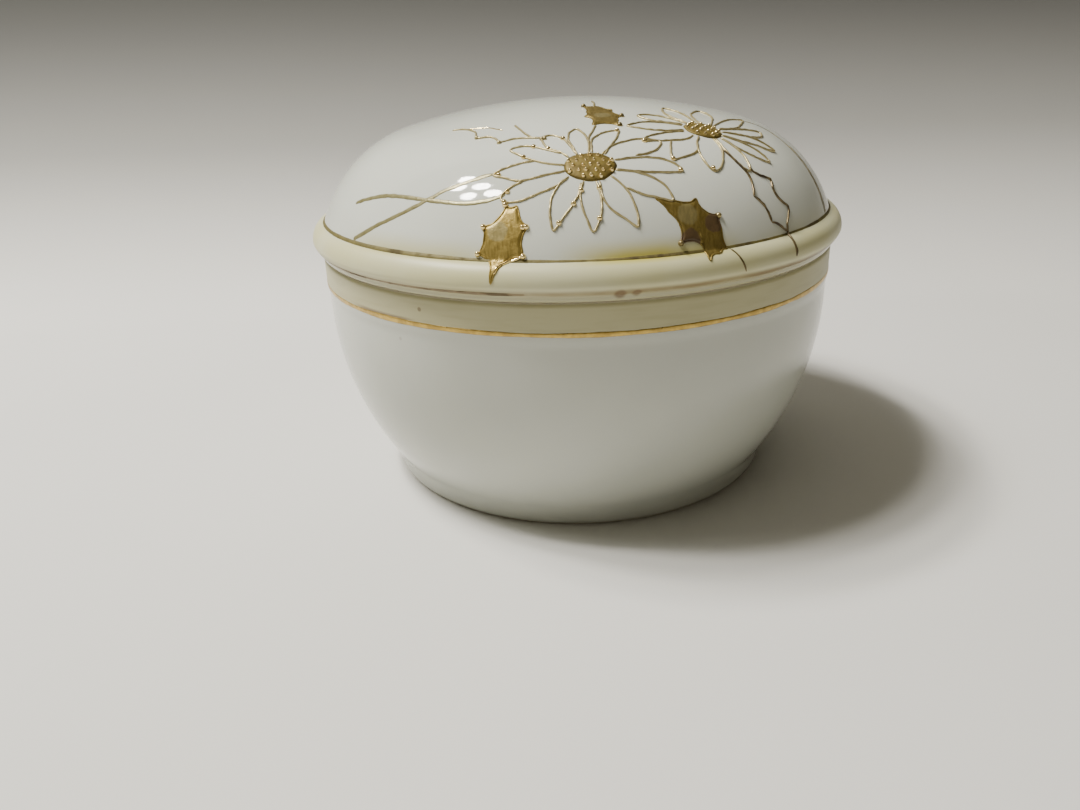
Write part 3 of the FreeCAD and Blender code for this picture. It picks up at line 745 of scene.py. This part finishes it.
LEAVES = {
    "left_leaf": [
        (-11.3, -40.2), (-9.6, -40.4), (-8.8, -43.7), (-9.8, -47.5), (-13.2, -48.3), (-15.6, -50.9),
        (-15.0, -48.0), (-16.7, -45.4), (-15.1, -42.1),
    ],
    "right_leaf": [
        (9.7, -40.2), (12.2, -40.0), (15.6, -38.9), (17.2, -40.3), (19.5, -40.1), (20.2, -42.0),
        (21.5, -44.5), (20.2, -45.9), (18.3, -47.6), (17.4, -45.3), (13.6, -45.9), (13.6, -44.0),
        (11.6, -41.8),
    ],
    "back_leaf": [
        (1.3, -12.0), (3.6, -12.2), (5.4, -14.6), (6.7, -18.3), (5.9, -20.6), (6.0, -23.3),
        (4.4, -22.4), (1.8, -23.0), (2.2, -20.4), (0.9, -18.6), (1.5, -15.8),
    ],
}
LEAF_BEADS = {
    "left_leaf": [
        (-15.1, -42.1), (-16.7, -45.4), (-8.9, -43.7), (-9.4, -43.7), (-11.5, -39.9), (-9.9, -47.5),
    ],
    "right_leaf": [(19.4, -40.3), (13.7, -45.8)],
    "back_leaf": [(1.3, -12.2), (6.6, -18.4), (5.9, -23.0)],
}
LEAF_LINES = {
    "left_leaf": [[(-9.9, -47.5), (-11.8, -47.8), (-13.5, -48.4), (-14.6, -49.4)]],
}
GREY_GREEN, BROWN = (0.36, 0.35, 0.20), (0.10, 0.062, 0.03)
LEAF_PATCHES = {
    "left_leaf": [((-13.1, -43.4), 2.3, GREY_GREEN, 0.34)],
    "right_leaf": [
        ((14.4, -41.6), 2.4, GREY_GREEN, 0.28), ((18.6, -41.7), 2.3, BROWN, 0.95),
        ((15.2, -44.9), 2.4, BROWN, 0.95),
    ],
    "back_leaf": [((3.7, -18.4), 2.2, GREY_GREEN, 0.25)],
}
LEAF_TONES = {"left_leaf": 0.8, "right_leaf": 0.56, "back_leaf": 0.5}
OUTLINED_LEAF = [
    [(20.6, -27.6), (22.6, -29.6), (24.3, -31.0), (25.0, -32.6), (25.4, -34.7)],
    [(25.4, -34.6), (26.9, -34.9), (28.1, -35.6), (29.2, -36.8)],
    [(29.2, -36.8), (30.2, -36.4), (31.6, -36.3), (32.9, -36.0)],
    [(24.5, -29.3), (25.2, -29.9), (26.6, -29.9), (28.4, -29.5), (28.9, -30.9), (29.9, -32.0),
     (31.2, -32.1), (32.3, -32.1), (32.6, -33.4), (32.5, -34.8), (33.0, -36.2), (33.5, -37.7),
     (34.9, -39.8)],
]
STEMS = {
    "left_stems": [
        [(-38.6, -29.7), (-36.0, -31.0), (-30.0, -33.2), (-25.0, -34.2), (-20.0, -34.2), (-12.8, -34.2)],
        [(-36.4, -23.9), (-33.0, -26.4), (-30.0, -28.6), (-24.5, -33.2), (-20.5, -36.0), (-17.0, -37.8),
         (-13.6, -38.5), (-11.4, -38.2)],
    ],
    "back_twig": [
        [(-19.0, -17.0), (-17.4, -17.8), (-16.2, -19.0), (-15.2, -21.0), (-15.0, -23.6), (-13.2, -24.0),
         (-12.2, -25.2), (-11.7, -26.9)],
        [(-11.7, -26.9), (-9.6, -26.3), (-7.2, -26.7), (-5.4, -27.2)],
        [(-9.4, -20.4), (-8.6, -22.8), (-7.9, -24.8), (-6.9, -26.8)],
    ],
    "right_stem": [
        [(26.9, -10.4), (29.4, -10.0), (32.0, -11.3), (35.5, -14.3), (39.0, -17.2), (42.0, -20.4),
         (43.6, -22.4)],
        [(35.0, -12.6), (38.4, -15.6), (41.6, -18.8), (43.9, -21.6)],
    ],
    "back_stem": [
        [(2.9, -7.4), (3.1, -9.5), (3.0, -12.2)],
        [(2.4, -23.0), (1.7, -25.6), (1.0, -28.0), (0.9, -30.0)],
    ],
}
TWIG_BEADS = [(-15.0, -23.6), (-11.7, -26.9), (-5.6, -27.6), (-5.2, -27.5)]
TWIG_STRAND = [[(-17.6, -17.8), (-15.0, -18.9), (-13.4, -19.5), (-12.0, -21.0), (-11.2, -21.8)]]
TAILS = [[(21.9, -44.4), (23.4, -45.6), (24.4, -46.4), (25.1, -47.0)]]


def make_eye(node, centre, halves, ground, gold, seed):
    """The middle of a daisy: a low oval cushion set with drops of gilding."""
    count, sides, thick = 7, 48, 0.34
    rings = []
    for ring in range(1, count + 1):
        share = ring / count
        points = []
        for side in range(sides):
            turn = 2 * math.pi * side / sides
            edge = 1 + 0.05 * uneven((math.cos(turn) * 2, math.sin(turn) * 2, 0), 1.0, seed)
            spot = (
                centre[0] + halves[0] * share * edge * math.cos(turn),
                centre[1] + halves[1] * share * edge * math.sin(turn),
            )
            lift = thick * math.sqrt(max(0.0, 1 - share ** 4)) - 0.05 * share
            lift += 0.05 * uneven((*spot, 0), 1.4, seed) * (1 - share ** 2)
            points.append(on_lid(spot, lift)[0])
        rings.append(points)
    cushion = Solid()
    cap(cushion, on_lid(centre, thick)[0], rings)
    cushion.piece(node + "_cushion", "lid", "raised_gold", ground, node)
    drops = Solid()
    spacing, squeeze, filled = 1.18, 0.84, 0.8
    for row in range(-4, 5):
        for column in range(-4, 5):
            x = (column + 0.5 * (row % 2)) * spacing + random.uniform(-0.12, 0.12)
            y = row * spacing * squeeze + random.uniform(-0.1, 0.1)
            if (x / halves[0]) ** 2 + (y / halves[1]) ** 2 < filled:
                size = random.uniform(0.30, 0.38)
                height = size + random.uniform(0.24, 0.30)
                bead(drops, (centre[0] + x, centre[1] + y), size, height)
    return drops.piece(node + "_drops", "lid", "raised_gold", gold)


def make_petals(name, petals, material, node, seed):
    """Outlined petals: each one raised line out to the tip and back."""
    solid = Solid()
    for number, petal in enumerate(petals):
        stroke(solid, petal, seed=seed + number)
    return solid.piece(name, "lid", "raised_gold", material, node)


def hollow_outline(prickles, hollow=0.15, steps=7):
    """The leaf's edge with each side curved in between its prickles."""
    middle = sum((Vector(p) for p in prickles), Vector((0, 0))) / len(prickles)
    edge = []
    for start, end in zip(prickles, prickles[1:] + prickles[:1]):
        a, b = Vector(start), Vector(end)
        inward = (middle - (a + b) / 2).normalized() * (b - a).length * hollow
        for step in range(steps):
            t = step / steps
            edge.append(tuple(a.lerp(b, t) + inward * 4 * t * (1 - t)))
    return edge, tuple(middle)


def make_leaf(name, fill, gold):
    """A brushed gilt leaf with a slightly raised edge and a drop on its prickles."""
    edge, middle = hollow_outline(LEAVES[name])
    count, thick, sunk = 9, 0.20, -0.04
    rings = []
    for ring in range(1, count + 1):
        share = ring / count
        points = []
        for spot in edge:
            u = middle[0] + (spot[0] - middle[0]) * share
            v = middle[1] + (spot[1] - middle[1]) * share
            brushed = thick - 0.01 + 0.03 * uneven((u, v, 0), 0.9, 3)
            points.append(on_lid((u, v), brushed if ring < count else sunk)[0])
        rings.append(points)
    leaf = Solid()
    cap(leaf, on_lid(middle, thick)[0], rings, closed=False)
    leaf.piece(name + "_gilding", "lid", "leaf_gold", fill, name)
    trim = Solid()
    stroke(trim, edge[::2], width=0.26, height=0.14, seed=31, closed=True)
    trim.piece(name + "_edge", "lid", "leaf_gold", fill)
    drops = Solid()
    for path in LEAF_LINES.get(name, []):
        stroke(drops, path, width=0.36, height=0.3, seed=37)
    for spot in LEAF_BEADS[name]:
        bead(drops, spot, 0.42, 0.5)
    return drops.piece(name + "_drops", "lid", "leaf_gold", gold)


def make_strokes(name, paths, material, *nodes, beads=(), width=STROKE, height=RAISED):
    """Raised lines, and any drops on them, as one piece that stands for some nodes or none."""
    solid = Solid()
    for number, path in enumerate(paths):
        stroke(solid, path, width=width, height=height, seed=51 + 3 * number)
    for spot in beads:
        bead(solid, spot, 0.36, 0.42)
    return solid.piece(name, "lid", "raised_gold", material, *nodes)


def leaf_paint(name):
    """Brushed leaf gold with duller patches."""
    paint = Paint(name + "_gilt")
    brushed = paint.noise(1.2, 4.0, 0.6, stretch=(2.4, 0.6, 0.6))
    deep, bright = (0.35, 0.25, 0.055), (0.56, 0.41, 0.11)
    low, high = (tuple(LEAF_TONES[name] * part for part in gold) for gold in (deep, bright))
    colour = paint.mix(paint.rise(brushed, 0.3, 0.7), low, high)
    dull = 0.0
    for centre, reach, tint, strength in LEAF_PATCHES[name]:
        place, _ = on_lid(centre)
        ragged = paint.times(paint.noise(0.9, 3.0), 0.5)
        patch = paint.combine("ADD", paint.spot(tuple(place), reach, 0.1), ragged)
        mask = paint.times(paint.rise(patch, 0.55, 0.8), strength)
        colour = paint.mix(mask, colour, tint)
        dull = paint.combine("MAXIMUM", dull, mask)
    rough = paint.grade(paint.noise(1.1, 3.0), 0.28, 0.5)
    paint.set(Base_Color=colour, Roughness=rough, Metallic=paint.grade(dull, 0.6, 0.15))
    paint.bump((paint.noise(1.6, 4.0, 0.6), 0.06))
    return paint.material


def make_spray():
    """Both daisies, their leaves and stems."""
    raised = gilt(
        "raised_gilt", (0.56, 0.475, 0.24), (0.41, 0.34, 0.165), (0.26, 0.21, 0.10), 0.34, (0.26, 0.44), 0.6)
    drops = gilt(
        "drop_gilt", (1.0, 0.82, 0.42), (0.95, 0.72, 0.30), (0.62, 0.43, 0.15), 0.1, (0.09, 0.16), 0.85,
        grain=0.15)
    ground = gilt(
        "eye_gilt", (0.21, 0.155, 0.032), (0.14, 0.10, 0.02), (0.08, 0.06, 0.014), 0.3, (0.45, 0.65), 0.4)
    fine = gilt(
        "stem_gilt", (0.40, 0.315, 0.135), (0.20, 0.155, 0.065), (0.11, 0.08, 0.04), 0.45, metallic=0.7)
    dark = gilt(
        "dark_gilt", (0.24, 0.185, 0.09), (0.12, 0.09, 0.045), (0.07, 0.05, 0.03), 0.5, metallic=0.7)
    flat = gilt(
        "flat_gilt", (0.31, 0.28, 0.13), (0.23, 0.20, 0.085), (0.17, 0.14, 0.06), 0.4, metallic=0.35)
    make_eye("large_daisy_eye", LARGE_EYE, LARGE_EYE_SIZE, ground, drops, 3)
    make_eye("small_daisy_eye", SMALL_EYE, SMALL_EYE_SIZE, ground, drops, 4)
    make_petals("large_daisy_outline", LARGE_PETALS, raised, "large_daisy_petals", 100)
    make_petals("small_daisy_outline", SMALL_PETALS, raised, "small_daisy_petals", 200)
    petal_drops = Solid()
    for spot in PETAL_BEADS:
        bead(petal_drops, spot, 0.38, 0.44)
    petal_drops.piece("petal_drops", "lid", "raised_gold", drops)
    for name, tips in (("left_leaf", drops), ("right_leaf", fine), ("back_leaf", fine)):
        make_leaf(name, leaf_paint(name), tips)
    make_strokes("outlined_leaf_line", OUTLINED_LEAF, dark, "outlined_leaf")
    make_strokes("left_stem_lines", STEMS["left_stems"], flat, "left_stems", width=0.66, height=0.06)
    make_strokes("back_twig_lines", STEMS["back_twig"], raised, "back_twig", beads=TWIG_BEADS)
    make_strokes("back_strand_line", TWIG_STRAND, drops, width=0.2, height=0.12)
    make_strokes("right_stem_lines", STEMS["right_stem"], fine, "right_stem", width=0.3, height=0.05)
    make_strokes("back_stem_lines", STEMS["back_stem"], raised, "back_stem")
    make_strokes("band_tail_lines", TAILS, dark, width=0.28, height=0.1)


# ---------------------------------------------------------------- stage, light and camera

def make_floor():
    """A pale floor that curves up behind into a plain backdrop, its colour painted darker with height as
    shade.
    """
    paint = Paint("floor_paint")
    pale, grey, dark = (0.84, 0.83, 0.79), (0.80, 0.79, 0.75), (0.062, 0.062, 0.056)
    colour = paint.mix(paint.noise(0.02, 2.0), pale, grey)
    # Painted shade: the colour darkens with height, a little already on the flat floor and towards near
    # black up the backdrop.
    colour = paint.mix(paint.rise(paint.z, -30.0, 100.0), colour, dark)
    paint.set(Base_Color=colour, Roughness=0.85)
    front, rise_at, bend, lean, height, half, steps = -1.2, 0.085, 0.06, 0.25, 0.9, 1.6, 12
    outline = [(front, 0.0), (rise_at, 0.0)]
    for step in range(1, steps + 1):
        angle = step / steps * math.pi * 0.40
        outline.append((rise_at + bend * math.sin(angle), bend * (1 - math.cos(angle))))
    outline.append((outline[-1][0] + lean, height))
    points = [(x, y, z) for y, z in outline for x in (-half, half)]
    faces = [(2 * k, 2 * k + 1, 2 * k + 3, 2 * k + 2) for k in range(len(outline) - 1)]
    mesh = bpy.data.meshes.new("floor")
    mesh.from_pydata(points, [], faces)
    mesh.shade_smooth()
    mesh.materials.append(paint.material)
    floor = bpy.data.objects.new("floor", mesh)
    bpy.context.scene.collection.objects.link(floor)


def towards(azimuth, elevation, distance):
    """A place seen from the box at an azimuth from +Y towards +X, and an elevation."""
    a, e = math.radians(azimuth), math.radians(elevation)
    return Vector((math.sin(a) * math.cos(e), math.cos(a) * math.cos(e), math.sin(e))) * distance


def add_light(name, place, size, power, colour, gloss=True):
    """A round area light that faces the box; without gloss it leaves no highlight."""
    data = bpy.data.lights.new(name, "AREA")
    data.shape = "DISK"
    data.size = size
    data.energy = power
    data.color = colour
    light = bpy.data.objects.new(name, data)
    light.location = place
    middle = Vector((0, 0, 0.03))
    light.rotation_euler = (middle - place).to_track_quat("-Z", "Y").to_euler()
    light.visible_glossy = gloss
    bpy.context.scene.collection.objects.link(light)


def make_light():
    """Five small lamps at the upper left, a soft key among them, and faint light all round."""
    warm, shine = (1.0, 0.96, 0.90), Vector((-0.015, -0.033, 0.050))
    lamps = [(-73.5, 57.5), (-62.6, 60.4), (-78.2, 64.7), (-90.7, 59.0), (-96.2, 66.3)]
    for number, (azimuth, elevation) in enumerate(lamps, start=1):
        add_light(f"lamp_{number}", shine + towards(azimuth, elevation, 0.7), 0.068, 1.6, warm)
    add_light("soft_key", towards(-90, 62, 0.68), 0.28, 2.4, (1.0, 1.0, 0.94), gloss=False)
    add_light("overhead", Vector((0, 0, 1.3)), 1.2, 1.9, (1.0, 0.93, 0.76), gloss=False)
    world = bpy.data.worlds.new("surround")
    bpy.context.scene.world = world
    world.use_nodes = True
    surround = world.node_tree.nodes["Background"]
    surround.inputs["Color"].default_value = (1.0, 0.88, 0.64, 1)
    surround.inputs["Strength"].default_value = 0.075


def make_camera():
    """The camera, held a little over the box and tilted slightly."""
    pitch, roll, place = math.radians(23.49), math.radians(-2.22), Vector((-7.22, -151.2, 72.0))
    forward = Vector((0, math.cos(pitch), -math.sin(pitch)))
    right, up = Vector((1, 0, 0)), Vector((0, math.sin(pitch), math.cos(pitch)))
    side = right * math.cos(roll) + up * math.sin(roll)
    top = up * math.cos(roll) - right * math.sin(roll)
    turn = Matrix((side, top, -forward)).transposed()
    data = bpy.data.cameras.new("camera")
    data.sensor_width = 36.0
    data.lens = 28.33
    data.clip_start = 0.01
    camera = bpy.data.objects.new("camera", data)
    camera.matrix_world = Matrix.Translation(place * MM) @ turn.to_4x4()
    bpy.context.scene.collection.objects.link(camera)
    bpy.context.scene.camera = camera


make_bowl()
make_lid()
make_gold_lines()
make_spray()
make_floor()
make_light()
make_camera()
